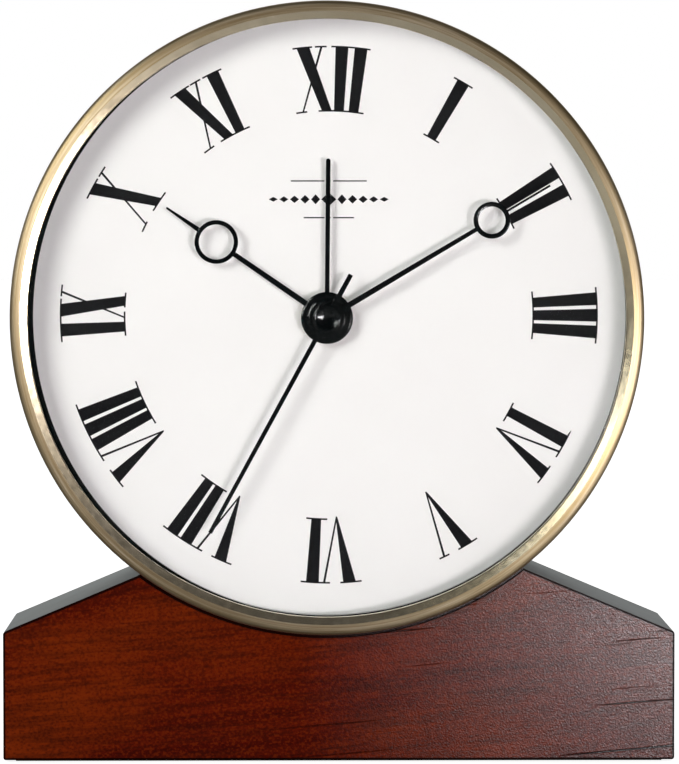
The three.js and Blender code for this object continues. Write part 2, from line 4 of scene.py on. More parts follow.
import bmesh
import bpy
import numpy as np
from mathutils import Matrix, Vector

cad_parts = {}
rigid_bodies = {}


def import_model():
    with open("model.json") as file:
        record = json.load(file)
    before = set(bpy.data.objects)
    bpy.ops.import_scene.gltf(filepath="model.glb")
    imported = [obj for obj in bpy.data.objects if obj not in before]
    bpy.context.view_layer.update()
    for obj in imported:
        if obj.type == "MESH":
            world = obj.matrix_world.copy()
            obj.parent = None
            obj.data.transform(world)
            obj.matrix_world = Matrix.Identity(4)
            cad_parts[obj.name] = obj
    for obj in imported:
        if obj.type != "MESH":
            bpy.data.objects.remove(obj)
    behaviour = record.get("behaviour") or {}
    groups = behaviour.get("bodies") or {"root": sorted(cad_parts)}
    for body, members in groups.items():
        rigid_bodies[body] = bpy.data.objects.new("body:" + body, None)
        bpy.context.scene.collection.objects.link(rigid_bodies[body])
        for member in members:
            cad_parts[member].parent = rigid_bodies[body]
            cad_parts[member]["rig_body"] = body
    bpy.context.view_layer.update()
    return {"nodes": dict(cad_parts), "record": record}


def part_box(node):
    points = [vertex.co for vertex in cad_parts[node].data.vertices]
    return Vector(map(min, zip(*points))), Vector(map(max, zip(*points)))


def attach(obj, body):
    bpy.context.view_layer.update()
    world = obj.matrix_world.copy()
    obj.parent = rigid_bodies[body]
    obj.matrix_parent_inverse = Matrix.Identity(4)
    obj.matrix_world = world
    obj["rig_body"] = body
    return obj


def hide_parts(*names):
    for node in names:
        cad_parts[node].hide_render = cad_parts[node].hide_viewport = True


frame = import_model()

# Lengths in the dictionaries are millimetres. Out is towards the front, up and across start at the case's axis.
mm = 0.001
dialLow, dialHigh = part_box("dial")
caseX = (dialLow[0] + dialHigh[0]) / 2
caseUp = (dialLow[2] + dialHigh[2]) / 2
dialFront = -dialLow[1] / mm
scene = bpy.context.scene
print("frame loaded, case axis at", round(caseX, 4), round(caseUp, 4))


# A place beside the case's axis, as world metres.
def casePoint(across, up, out):
    across, up, out = np.broadcast_arrays(across, up, out)
    return np.stack([caseX + across * mm, -out * mm, caseUp + up * mm], axis=-1).reshape(-1, 3)


# Four corners of every cell of a grid, joined up at the ends where it wraps.
def gridFaces(rows, columns, wrapRows=False, wrapColumns=True):
    row = np.arange(rows if wrapRows else rows - 1)
    column = np.arange(columns if wrapColumns else columns - 1)
    row, column = np.meshgrid(row, column, indexing="ij")
    nextRow, nextColumn = (row + 1) % rows, (column + 1) % columns
    corners = [row * columns + column, row * columns + nextColumn,
               nextRow * columns + nextColumn, nextRow * columns + column]
    return np.stack(corners, axis=-1).reshape(-1, 4).tolist()


# Each corner becomes a short curve: (1-t)^2 before + 2t(1-t) corner + t^2 after.
# An open outline keeps its two ends.
def soften(corners, reach, steps=4, isOpen=False):
    corners = np.asarray(corners, float)
    t = np.linspace(0, 1, steps + 1)[None, :, None]

    def towards(other):
        leg = other - corners
        length = np.maximum(np.linalg.norm(leg, axis=1, keepdims=True), 1e-9)
        return corners + leg * np.minimum(reach / length, 0.45)

    before = towards(np.roll(corners, 1, axis=0))[:, None]
    after = towards(np.roll(corners, -1, axis=0))[:, None]
    curve = ((1 - t) ** 2 * before + 2 * t * (1 - t) * corners[:, None] + t ** 2 * after).reshape(-1, 2)
    if isOpen:
        curve = np.vstack([corners[:1], curve[steps + 1:-(steps + 1)], corners[-1:]])
    return curve


# A profile of (radius, out) carried round an axis: across = radius sin t, up = radius cos t.
def turned(profile, sides=192, centre=(0, 0), isOpen=False, flutes=0, fluteDepth=0.0):
    profile = np.asarray(profile, float)
    t = np.linspace(0, 2 * np.pi, sides, endpoint=False)[None]
    radius, out = profile[:, :1], profile[:, 1:]
    radius = radius - fluteDepth * (0.5 - 0.5 * np.cos(flutes * t)) * (radius > 0.97 * radius.max())
    points = casePoint(centre[0] + radius * np.sin(t), centre[1] + radius * np.cos(t), out)
    return points, gridFaces(len(profile), sides, wrapRows=not isOpen)


# A closed flat outline carried straight from back to front.
def slab(outline, back, front):
    outline = np.asarray(outline, float)
    count = len(outline)
    points = np.vstack([casePoint(outline[:, 0], outline[:, 1], back),
                        casePoint(outline[:, 0], outline[:, 1], front)])
    return points, gridFaces(2, count) + [list(range(count)), list(range(count, 2 * count))]


def box(acrossRange, upRange, outRange):
    (left, right), (low, high) = acrossRange, upRange
    return slab([(left, low), (right, low), (right, high), (left, high)], *outRange)


# An outline drawn pointing to twelve, turned clockwise about the case's axis.
def clockwise(outline, degrees):
    across, up = np.asarray(outline, float).T
    a = math.radians(degrees)
    return np.stack([across * math.cos(a) + up * math.sin(a), up * math.cos(a) - across * math.sin(a)], axis=1)


def meshOf(name, shells):
    points, faces, start = [], [], 0
    for shellPoints, shellFaces in shells:
        points.append(shellPoints)
        faces += [[start + corner for corner in face] for face in shellFaces]
        start += len(shellPoints)
    mesh = bpy.data.meshes.new(name)
    mesh.from_pydata(np.vstack(points).tolist(), [], faces)
    cleanMesh(mesh)
    return mesh


def cleanMesh(mesh, mergeDistance=1e-7):
    work = bmesh.new()
    work.from_mesh(mesh)
    bmesh.ops.remove_doubles(work, verts=work.verts, dist=mergeDistance)
    bmesh.ops.dissolve_degenerate(work, edges=work.edges, dist=mergeDistance)
    bmesh.ops.recalc_face_normals(work, faces=work.faces)
    work.to_mesh(mesh)
    work.free()


def objectOf(name, shells):
    made = bpy.data.objects.new(name, meshOf(name, shells))
    scene.collection.objects.link(made)
    return made


# The piece with its modifiers worked in.
def applied(piece):
    bpy.context.view_layer.update()
    seen = piece.evaluated_get(bpy.context.evaluated_depsgraph_get())
    mesh = bpy.data.meshes.new_from_object(seen)
    piece.modifiers.clear()
    piece.data = mesh
    return piece


# Cuts the tool's shells out of the piece. Shells that overlap are first joined, by a union with nothing else.
def cutAway(piece, toolShells):
    tool = objectOf(piece.name + "_tool", toolShells)
    joined = tool.modifiers.new("join", "BOOLEAN")
    joined.operation, joined.solver, joined.use_self = "UNION", "EXACT", True
    joined.operand_type, joined.collection = "COLLECTION", bpy.data.collections.new("none")
    applied(tool)
    cut = piece.modifiers.new("cut", "BOOLEAN")
    cut.operation, cut.solver, cut.object = "DIFFERENCE", "EXACT", tool
    applied(piece)
    bpy.data.objects.remove(tool)


def faceVectors(mesh, field):
    values = np.empty(len(mesh.polygons) * 3)
    mesh.polygons.foreach_get(field, values)
    return values.reshape(-1, 3)


def roundEdges(piece, width, segments):
    bevel = piece.modifiers.new("edges", "BEVEL")
    bevel.width, bevel.segments, bevel.limit_method = width * mm, segments, "ANGLE"
    bevel.angle_limit = math.radians(35)
    applied(piece)


# Rounds the edges, shades smoothly with flat faces kept flat, gives the finish and rides on the body.
def finishPiece(piece, finish, body, nodes=(), slot=None, edge=0.0, sharp=32, segments=2):
    if edge:
        roundEdges(piece, edge, segments)
    piece.data.polygons.foreach_set("use_smooth", np.ones(len(piece.data.polygons), bool))
    piece.data.set_sharp_from_angle(angle=math.radians(sharp))
    weighted = piece.modifiers.new("normals", "WEIGHTED_NORMAL")
    weighted.keep_sharp = True
    applied(piece)
    if not piece.data.materials:
        piece.data.materials.append(finish)
    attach(piece, body)
    if nodes:
        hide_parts(*nodes)
    return piece


def addPiece(name, shells, finish, body, nodes=(), slot=None, **rounding):
    return finishPiece(objectOf(name, shells), finish, body, nodes, slot, **rounding)


def node(tree, kind, inputs=None, **settings):
    made = tree.nodes.new(kind)
    for key, value in settings.items():
        setattr(made, key, value)
    for key, value in (inputs or {}).items():
        if isinstance(value, bpy.types.NodeSocket):
            tree.links.new(value, made.inputs[key])
        else:
            made.inputs[key].default_value = value
    return made


def newGroup(name, inputs, outputs):
    group = bpy.data.node_groups.new(name, "ShaderNodeTree")
    for label, kind, value in inputs:
        socket = group.interface.new_socket(label, in_out="INPUT", socket_type=kind)
        if value is not None:
            socket.default_value = value
    for label in outputs:
        group.interface.new_socket(label, in_out="OUTPUT", socket_type="NodeSocketFloat")
    return group, group.nodes.new("NodeGroupInput"), group.nodes.new("NodeGroupOutput")


def mixColour(tree, factor, first, second, blend="MIX"):
    mix = node(tree, "ShaderNodeMix", data_type="RGBA", blend_type=blend)
    for index, value in ((0, factor), (6, first), (7, second)):
        if isinstance(value, bpy.types.NodeSocket):
            tree.links.new(value, mix.inputs[index])
        else:
            mix.inputs[index].default_value = value
    return mix.outputs[2]


def ranged(tree, value, low, high, fromLow=0.0, fromHigh=1.0):
    made = node(tree, "ShaderNodeMapRange", {"Value": value, "From Min": fromLow, "From Max": fromHigh,
                                             "To Min": low, "To Max": high})
    return made.outputs[0]


# Slow mottle and fine grain, both from noise.
grainGroup, groupIn, groupOut = newGroup("surfaceGrain", [
    ("Vector", "NodeSocketVector", None), ("Mottle Scale", "NodeSocketFloat", 60.0),
    ("Grain Scale", "NodeSocketFloat", 1500.0)], ["Mottle", "Grain"])
for label, detail in (("Mottle", 4.0), ("Grain", 2.0)):
    noise = node(grainGroup, "ShaderNodeTexNoise", {
        "Vector": groupIn.outputs["Vector"], "Scale": groupIn.outputs[label + " Scale"], "Detail": detail})
    grainGroup.links.new(ranged(grainGroup, noise.outputs[0], 0, 1, 0.3, 0.7), groupOut.inputs[label])

# A mask on outer edges, broken up by noise.
wearGroup, groupIn, groupOut = newGroup("edgeWear", [("Vector", "NodeSocketVector", None)], ["Wear"])
geometry = node(wearGroup, "ShaderNodeNewGeometry")
broken = node(wearGroup, "ShaderNodeTexNoise", {"Vector": groupIn.outputs[0], "Scale": 350.0, "Detail": 3.0})
edges = ranged(wearGroup, geometry.outputs["Pointiness"], 0, 1, 0.52, 0.62)
worn = node(wearGroup, "ShaderNodeMath", {0: edges, 1: broken.outputs[0]}, operation="MULTIPLY")
wearGroup.links.new(worn.outputs[0], groupOut.inputs["Wear"])

# Lines left round the case's axis by brushing: noise on the distance from the axis, slow along the turn.
brushGroup, groupIn, groupOut = newGroup("roundBrushing", [("Vector", "NodeSocketVector", None)],
                                         ["Lines", "Streaks"])
parts = node(brushGroup, "ShaderNodeSeparateXYZ", {0: node(
    brushGroup, "ShaderNodeVectorMath", {0: groupIn.outputs[0], 1: (caseX, 0.0, caseUp)},
    operation="SUBTRACT").outputs[0]})
flat = node(brushGroup, "ShaderNodeCombineXYZ", {0: parts.outputs[0], 1: parts.outputs[2]})
reach = node(brushGroup, "ShaderNodeVectorMath", {0: flat.outputs[0]}, operation="LENGTH")
around = node(brushGroup, "ShaderNodeVectorMath", {0: flat.outputs[0], 3: 60.0}, operation="SCALE")
depth = node(brushGroup, "ShaderNodeMath", {0: reach.outputs["Value"], 1: parts.outputs[1]}, operation="SUBTRACT")
across = node(brushGroup, "ShaderNodeMath", {0: depth.outputs[0], 1: 4200.0}, operation="MULTIPLY")
aroundParts = node(brushGroup, "ShaderNodeSeparateXYZ", {0: around.outputs[0]})
lineVector = node(brushGroup, "ShaderNodeCombineXYZ", {
    0: aroundParts.outputs[0], 1: aroundParts.outputs[1], 2: across.outputs[0]})
for label, scale in (("Lines", 1.0), ("Streaks", 0.22)):
    noise = node(brushGroup, "ShaderNodeTexNoise", {"Vector": lineVector.outputs[0], "Scale": scale, "Detail": 3.0})
    brushGroup.links.new(ranged(brushGroup, noise.outputs[0], 0, 1, 0.3, 0.7), groupOut.inputs[label])


def newFinish(name):
    finish = bpy.data.materials.new(name)
    finish.use_nodes = True
    tree = finish.node_tree
    return finish, tree, tree.nodes["Principled BSDF"], node(tree, "ShaderNodeTexCoord").outputs["Object"]


def grouped(tree, group, inputs):
    made = node(tree, "ShaderNodeGroup", node_tree=group)
    for key, value in inputs.items():
        if isinstance(value, bpy.types.NodeSocket):
            tree.links.new(value, made.inputs[key])
        else:
            made.inputs[key].default_value = value
    return made


def bumped(tree, height, distance):
    bump = node(tree, "ShaderNodeBump", {"Height": height, "Distance": distance * mm})
    return bump.outputs[0]


# A plain finish: mottled colour, grained roughness and bump, lighter worn edges.
def surfaceFinish(name, dark, light, rough=(0.4, 0.5), metallic=0.0, mottle=60.0, grain=1500.0,
                  bump=0.01, wear=None, coat=0.0, sheen=0.0, specular=0.5):
    finish, tree, shader, place = newFinish(name)
    surface = grouped(tree, grainGroup, {"Vector": place, "Mottle Scale": mottle, "Grain Scale": grain})
    colour = mixColour(tree, surface.outputs["Mottle"], (*dark, 1), (*light, 1))
    if wear:
        mask = grouped(tree, wearGroup, {"Vector": place}).outputs["Wear"]
        colour = mixColour(tree, mask, colour, (*wear, 1))
    tree.links.new(colour, shader.inputs["Base Color"])
    tree.links.new(ranged(tree, surface.outputs["Grain"], *rough), shader.inputs["Roughness"])
    tree.links.new(bumped(tree, surface.outputs["Grain"], bump), shader.inputs["Normal"])
    shader.inputs["Metallic"].default_value = metallic
    shader.inputs["Coat Weight"].default_value = coat
    shader.inputs["Coat Roughness"].default_value = 0.08
    shader.inputs["Sheen Weight"].default_value = sheen
    shader.inputs["Specular IOR Level"].default_value = specular
    return finish


mahoganyLook = {
    "dark": (0.085, 0.0040, 0.0005, 1), "red": (0.150, 0.0105, 0.0010, 1), "orange": (0.235, 0.028, 0.002, 1),
    "pore": (0.010, 0.002, 0.001, 1), "tilt": 5.0, "roughness": (0.5, 0.6), "coatRoughness": 0.29,
    "coatIor": 1.95, "peel": 0.16, "dent": 1.5,
    # Noise scales along, through and up the board.
    "figure": (7, 22, 210), "patches": (15, 10, 34), "speckle": (1500, 1500, 1900), "fibre": (60, 300, 900),
    "pores": (20, 900, 800), "orangePeel": (2100, 2100, 2300)}


# Mahogany under satin lacquer: figure drawn out along the board, fine speckle, and long pores to the right.
def mahoganyFinish(look, name="mahogany", shade=1.0):
    finish, tree, shader, place = newFinish(name)
    tilted = node(tree, "ShaderNodeMapping", {"Vector": place, "Rotation": (0, math.radians(look["tilt"]), 0)})
    along = tilted.outputs[0]

    def noise(scale, detail=3.0, location=(0, 0, 0), vector=along, **more):
        moved = node(tree, "ShaderNodeMapping", {"Vector": vector, "Location": location, "Scale": scale})
        return node(tree, "ShaderNodeTexNoise", {"Vector": moved.outputs[0], "Scale": 1.0, "Detail": detail,
                                                 **more}).outputs[0]

    # shade scales the wood's colours down; below 1 it is painted shade.
    def shaded(colour):
        return (*[part * shade for part in colour[:3]], 1)

    side, _, height = node(tree, "ShaderNodeSeparateXYZ", {0: place}).outputs
    figure = noise(look["figure"], 6.0, Distortion=0.3)
    patches = noise(look["patches"], 3.0, (0.3, 0, 0.9))
    speckle = noise(look["speckle"], 2.0)
    colour = mixColour(tree, ranged(tree, figure, 0, 1, 0.34, 0.64), shaded(look["dark"]), shaded(look["red"]))
    colour = mixColour(tree, ranged(tree, patches, 0, 0.8, 0.46, 0.68), colour, shaded(look["orange"]))
    colour = mixColour(tree, ranged(tree, speckle, 0.4, 0, 0.34, 0.52), colour, look["pore"])
    colour = mixColour(tree, ranged(tree, speckle, 0, 0.45, 0.52, 0.66), colour, shaded(look["orange"]))
    fibre = noise(look["fibre"], 2.0)
    colour = mixColour(tree, ranged(tree, fibre, 0.35, 0, 0.36, 0.54), colour, look["pore"])
    toRight = ranged(tree, side, 0.04, 1, -0.035, 0.03)
    lines = ranged(tree, noise(look["pores"], 1.0), 1, 0, 0.27, 0.33)
    pores = node(tree, "ShaderNodeMath", {0: lines, 1: toRight}, operation="MULTIPLY").outputs[0]
    colour = mixColour(tree, pores, colour, look["pore"])
    tree.links.new(colour, shader.inputs["Base Color"])
    tree.links.new(ranged(tree, speckle, *look["roughness"]), shader.inputs["Roughness"])
    # The orange peel in the lacquer shows more towards the right.
    rough = ranged(tree, side, 0.25, 1, -0.03, 0.02)
    peel = node(tree, "ShaderNodeMath", {0: noise(look["orangePeel"], 2.0, vector=place), 1: rough},
                operation="MULTIPLY").outputs[0]
    dent = node(tree, "ShaderNodeMath", {0: pores, 1: look["dent"]}, operation="MULTIPLY").outputs[0]
    relief = node(tree, "ShaderNodeMath", {0: peel, 1: dent}, operation="SUBTRACT").outputs[0]
    normal = bumped(tree, relief, look["peel"])
    tree.links.new(normal, shader.inputs["Normal"])
    tree.links.new(normal, shader.inputs["Coat Normal"])
    shader.inputs["Specular IOR Level"].default_value = 0.02
    # The coat is set stronger there, as the way across to the power 1.6, and weaker low down. A guess.
    gloss = node(tree, "ShaderNodeMath", {0: ranged(tree, side, 0, 1, -0.012, 0.080), 1: 1.6}, operation="POWER")
    upper = ranged(tree, height, 0.55, 1, 0.002, 0.035)
    shine = node(tree, "ShaderNodeMath", {0: gloss.outputs[0], 1: upper}, operation="MULTIPLY")
    tree.links.new(shine.outputs[0], shader.inputs["Coat Weight"])
    shader.inputs["Coat Roughness"].default_value = look["coatRoughness"]
    shader.inputs["Coat IOR"].default_value = look["coatIor"]
    return finish


brassLook = {"dark": (0.27, 0.190, 0.082, 1), "light": (0.62, 0.525, 0.375, 1), "roughness": (0.30, 0.43),
             "anisotropy": 0.84, "groove": 0.010}


def brassFinish(look):
    finish, tree, shader, place = newFinish("brushedBrass")
    brush = grouped(tree, brushGroup, {"Vector": place})
    lines, streaks = brush.outputs["Lines"], brush.outputs["Streaks"]
    blend = node(tree, "ShaderNodeMath", {0: lines, 1: streaks}, operation="MULTIPLY").outputs[0]
    colour = mixColour(tree, ranged(tree, blend, 0.1, 1.0), look["dark"], look["light"])
    tree.links.new(colour, shader.inputs["Base Color"])
    tree.links.new(ranged(tree, streaks, *look["roughness"]), shader.inputs["Roughness"])
    tree.links.new(bumped(tree, lines, look["groove"]), shader.inputs["Normal"])
    turning = node(tree, "ShaderNodeTangent", direction_type="RADIAL", axis="Y")
    tree.links.new(turning.outputs[0], shader.inputs["Tangent"])
    shader.inputs["Metallic"].default_value = 1.0
    shader.inputs["Anisotropic"].default_value = look["anisotropy"]
    shader.inputs["Anisotropic Rotation"].default_value = 0.25  # widest across the brushing
    return finish


# Clear glass that lets light straight through to what is behind it.
def glassFinish():
    finish, tree, shader, place = newFinish("clearGlass")
    shader.inputs["Base Color"].default_value = (0.985, 0.99, 0.985, 1)
    shader.inputs["Transmission Weight"].default_value = 1.0
    shader.inputs["IOR"].default_value = 1.05  # far below real glass, to keep the lights off the dial
    haze = grouped(tree, grainGroup, {"Vector": place, "Mottle Scale": 30.0, "Grain Scale": 300.0})
    tree.links.new(ranged(tree, haze.outputs["Mottle"], 0.0, 0.012), shader.inputs["Roughness"])
    clear = node(tree, "ShaderNodeBsdfTransparent")
    mix = node(tree, "ShaderNodeMixShader", {
        0: node(tree, "ShaderNodeLightPath").outputs["Is Shadow Ray"], 1: shader.outputs[0], 2: clear.outputs[0]})
    tree.links.new(mix.outputs[0], tree.nodes["Material Output"].inputs["Surface"])
    return finish


finishes = {
    "wood": mahoganyFinish(mahoganyLook),
    "brass": brassFinish(brassLook),
    "glass": glassFinish(),
    "felt": surfaceFinish("darkFelt", (0.012, 0.020, 0.015), (0.035, 0.055, 0.040), (0.92, 1.0),
                          mottle=250, grain=2600, bump=0.12, sheen=0.3),
    "steel": surfaceFinish("plainSteel", (0.42, 0.42, 0.43), (0.62, 0.62, 0.64), (0.22, 0.42), 1.0, bump=0.004),
    "drum_metal": surfaceFinish("satinBlackMetal", (0.016, 0.016, 0.017), (0.028, 0.028, 0.029), (0.34, 0.46),
                                bump=0.02, wear=(0.09, 0.085, 0.08)),
    "rubber": surfaceFinish("blackRubber", (0.006, 0.006, 0.006), (0.014, 0.014, 0.014), (0.7, 0.85), bump=0.02),
    "black_paint": surfaceFinish("glossBlack", (0.0002, 0.0012, 0.0014), (0.0004, 0.0018, 0.0021), (0.5, 0.6),
                                 bump=0.0003, coat=0.9, specular=0.0),
    "dial_paint": surfaceFinish("dialWhite", (0.940, 0.912, 0.900), (0.955, 0.930, 0.918), (0.7, 0.8),
                                mottle=45, grain=1100, bump=0.006),
    "black_plastic": surfaceFinish("blackPlastic", (0.010, 0.010, 0.011), (0.022, 0.022, 0.024), (0.42, 0.56),
                                   grain=1900, bump=0.03, wear=(0.06, 0.06, 0.062)),
    "gear_plastic": surfaceFinish("gearNylon", (0.66, 0.65, 0.60), (0.80, 0.79, 0.75), (0.35, 0.48)),
    "gear_brass": surfaceFinish("gearBrass", (0.52, 0.36, 0.14), (0.70, 0.52, 0.24), (0.2, 0.34), 1.0, bump=0.003),
    "cell_wrap": surfaceFinish("batteryWrap", (0.03, 0.07, 0.22), (0.06, 0.12, 0.34), (0.22, 0.32), bump=0.003),
    "board": surfaceFinish("circuitGreen", (0.012, 0.12, 0.045), (0.03, 0.22, 0.08), (0.3, 0.42), mottle=420),
    "copper": surfaceFinish("copperWire", (0.42, 0.13, 0.05), (0.64, 0.25, 0.10), (0.25, 0.4), 1.0,
                            grain=5200, bump=0.06),
    "magnet": surfaceFinish("sinteredMagnet", (0.07, 0.07, 0.075), (0.14, 0.14, 0.15), (0.4, 0.6), 0.8),
}
# Flat grey for the base's sloping tops in place of the wood: a painted reflection of the bright surroundings at a
# grazing angle.
paintedReflectionGrey = surfaceFinish("greyPaintedReflection", (0.385, 0.410, 0.402), (0.435, 0.460, 0.452), (0.55, 0.65), bump=0.015,
                          specular=0.08)
polishedBrass = surfaceFinish("polishedBrass", (0.72, 0.60, 0.40), (0.86, 0.76, 0.56), (0.13, 0.18), 1.0,
                              mottle=40, grain=700, bump=0.001)
# Mahogany darkened to 0.12: painted shade for the rounded edges and painted shadow in the rebate under the rim.
paintedEdgeShade = mahoganyFinish(mahoganyLook, "mahoganyPaintedShade", 0.12)
printInk = surfaceFinish("printedBlack", (0.005, 0.005, 0.006), (0.011, 0.011, 0.012), (0.75, 0.85), bump=0.002,
                         specular=0.12)

# Every node starts with the finish of its slot, then most visible ones are replaced below.
slotOfNode = {part["node"]: part["material_slot"] for part in frame["record"]["subparts"]}
for name, cadPiece in frame["nodes"].items():
    cadPiece.data.materials.clear()
    cadPiece.data.materials.append(finishes[slotOfNode[name]])
print("finishes made:", len(finishes) + 4)


baseLook = {"half": 84.0, "bottom": 0.5, "side": 32.6, "rise": 0.42, "cradle": 76.7, "front": 21.0, "back": -27.0,
            "edge": 0.6, "padInset": 2.7, "padDepth": 1.1, "rebate": 79.95, "rebateFloor": 19.4,
            "arcSteps": 72}


# The front outline: five straight edges and, at the top, the arc that the case stands in.
def baseOutline(look):
    centre = np.array([caseX, caseUp]) / mm

    # Where a sloping top meets the arc: |start + s * slope - centre| = cradle radius, the first s.
    def meets(side):
        start = np.array([side * look["half"], look["side"]])
        slope = np.array([-side, look["rise"]])
        offset = start - centre
        a, b, c = slope @ slope, 2 * slope @ offset, offset @ offset - look["cradle"] ** 2
        return start + slope * (-b - math.sqrt(b * b - 4 * a * c)) / (2 * a)

    right, left = meets(1) - centre, meets(-1) - centre
    angles = np.linspace(math.atan2(right[1], right[0]), math.atan2(left[1], left[0]), look["arcSteps"])
    arc = look["cradle"] * np.stack([np.cos(angles), np.sin(angles)], axis=1)
    corners = np.array([[-look["half"], look["bottom"]], [look["half"], look["bottom"]],
                        [look["half"], look["side"]]]) - centre
    last = np.array([[-look["half"], look["side"]]]) - centre
    return np.vstack([corners, arc, last])


outline = baseOutline(baseLook)
base = objectOf("wooden_base", [slab(outline, baseLook["back"], baseLook["front"])])
offX, offUp = caseX / mm, caseUp / mm
pocketHalf = baseLook["half"] - baseLook["padInset"]
holes = [box((-pocketHalf - offX, pocketHalf - offX), (-1 - offUp, baseLook["padDepth"] - offUp),
             (baseLook["back"] + baseLook["padInset"], baseLook["front"] - baseLook["padInset"])),
         turned([(0, 22), (baseLook["rebate"], 22), (baseLook["rebate"], baseLook["rebateFloor"]),
                 (0, baseLook["rebateFloor"])], 256, isOpen=True)]
roundEdges(base, baseLook["edge"], 3)
cutAway(base, holes)
base.data.materials.append(finishes["wood"])
base.data.materials.append(paintedReflectionGrey)
# The upward-facing faces take the grey: a painted reflection, not the wood's own colour.
paintedReflectionTops = (faceVectors(base.data, "normal")[:, 2] > 0.3) & (faceVectors(base.data, "center")[:, 2] > 0.03)
base.data.polygons.foreach_set("material_index", paintedReflectionTops.astype(np.int32))
finishPiece(base, None, "clock", ["base"], "wood")

# Darker mahogany painted on the rounded edges, which look along none of the block's main directions, as painted
# edge shade, and in the rebate, as a painted shadow under the rim.
base.data.materials.append(paintedEdgeShade)
normals = faceVectors(base.data, "normal")
slope = math.hypot(1, baseLook["rise"])
main = np.array([(0, 1, 0), (1, 0, 0), (0, 0, 1), (baseLook["rise"] / slope, 0, 1 / slope),
                 (-baseLook["rise"] / slope, 0, 1 / slope)])
facing = np.abs(normals @ main.T).max(axis=1)
index = np.empty(len(base.data.polygons), np.int32)
base.data.polygons.foreach_get("material_index", index)
index[(facing < 0.985) & (np.abs(normals[:, 1]) > 0.1)] = 2
# The rebate under the rim takes the same darkened mahogany: a painted shadow of the rim.
out = -faceVectors(base.data, "center")[:, 1] / mm
index[(out > baseLook["rebateFloor"] - 0.1) & (out < baseLook["front"] - 0.01)] = 2
base.data.polygons.foreach_set("material_index", index)
print("base made")


rimLook = {"radius": 78.75, "lip": 74.2, "ridge": 76.1, "front": 27.0, "back": 21.3, "drop": 1.9, "fullness": 3.8,
           "chamfer": 11.0, "lipRound": 0.35, "seat": 25.3, "seatRadius": 76.1, "shelf": 22.4, "drumRadius": 78.1,
           "sides": 384}


# The rim's face falls away outside its ridge as 1 - (1 - x^n)^(1/n), and inside it is a straight chamfer.
def rimProfile(look):
    x = np.sin(np.linspace(np.pi / 2, 0, 22))
    n = look["fullness"]
    outside = np.stack([look["ridge"] + (look["radius"] - look["ridge"]) * x,
                        look["front"] - look["drop"] * (1 - (1 - x ** n) ** (1 / n))], axis=1)
    lipTop = look["front"] - (look["ridge"] - look["lip"]) * math.tan(math.radians(look["chamfer"]))
    t = np.linspace(0, np.pi / 2, 6)
    lip = np.stack([look["lip"] + look["lipRound"] * (1 - np.sin(t)),
                    lipTop - look["lipRound"] * (1 - np.cos(t))], axis=1)
    inside = [(look["lip"], look["seat"]), (look["seatRadius"], look["seat"]), (look["seatRadius"], look["shelf"]),
              (look["drumRadius"], look["shelf"]), (look["drumRadius"], look["back"])]
    return np.vstack([[(look["radius"], look["back"])], outside, lip, inside])


rim = addPiece("brass_rim", [turned(rimProfile(rimLook), rimLook["sides"])], finishes["brass"], "clock",
               ["bezel"], "brass", sharp=12)

# Inside its ridge the rim is polished, not brushed.
rim.data.materials.append(polishedBrass)
across, out, up = ((faceVectors(rim.data, "center") - (caseX, 0, caseUp)) / mm).T
polished = (np.hypot(across, up) < rimLook["ridge"]) & (-out > rimLook["seat"] + 0.02)
rim.data.polygons.foreach_set("material_index", polished.astype(np.int32))

ringLook = {"outer": 75.3, "frontInner": 74.38, "backInner": 75.0, "front": 22.3, "back": 13.5,
            "wide": 1.3, "towards": 262.0, "power": 1.8, "low": 0.28, "lowTowards": 165.0}


# The black wall inside the glass is thicker to one side: inner radius - wide * cos(angle from there) ^ power.
# Low down it is a little thicker too.
def blackWall(look, sides=288):
    t = np.linspace(0, 2 * np.pi, sides, endpoint=False)
    extra = look["wide"] * np.clip(np.cos(t - math.radians(look["towards"])), 0, 1) ** look["power"]
    low = look["low"] * np.clip(np.cos(t - math.radians(look["lowTowards"])), 0, 1)
    inner = np.maximum(extra, low)
    rows = [(look["outer"] + 0 * t, look["back"]), (look["outer"] + 0 * t, look["front"]),
            (look["frontInner"] - inner, look["front"]), (look["backInner"] - inner, look["back"])]
    points = np.vstack([casePoint(radius * np.sin(t), radius * np.cos(t), out) for radius, out in rows])
    return points, gridFaces(len(rows), sides, wrapRows=True)


addPiece("black_wall", [blackWall(ringLook)], finishes["black_paint"], "clock", ["dial_ring"], "black_paint")

drumLook = {"outer": 76.4, "inner": 75.4, "flange": 78.0, "step": 73.4, "opening": 68.0, "front": 22.3,
            "flangeBack": 21.4, "stepFront": 12.3, "stepBack": 11.3, "floor": -13.8, "back": -15.0,
            "rounding": 0.5, "sides": 288}
look = drumLook
drumProfile = soften([
    (look["flange"], look["flangeBack"]), (look["flange"], look["front"]), (look["inner"], look["front"]),
    (look["inner"], look["stepFront"]), (look["step"], look["stepFront"]), (look["step"], look["stepBack"]),
    (look["inner"], look["stepBack"]), (look["inner"], look["floor"]), (look["opening"], look["floor"]),
    (look["opening"], look["back"]), (look["outer"], look["back"]), (look["outer"], look["flangeBack"])],
    look["rounding"])
addPiece("case_shell", [turned(drumProfile, look["sides"])], finishes["drum_metal"], "clock", ["case_drum"],
         "drum_metal")

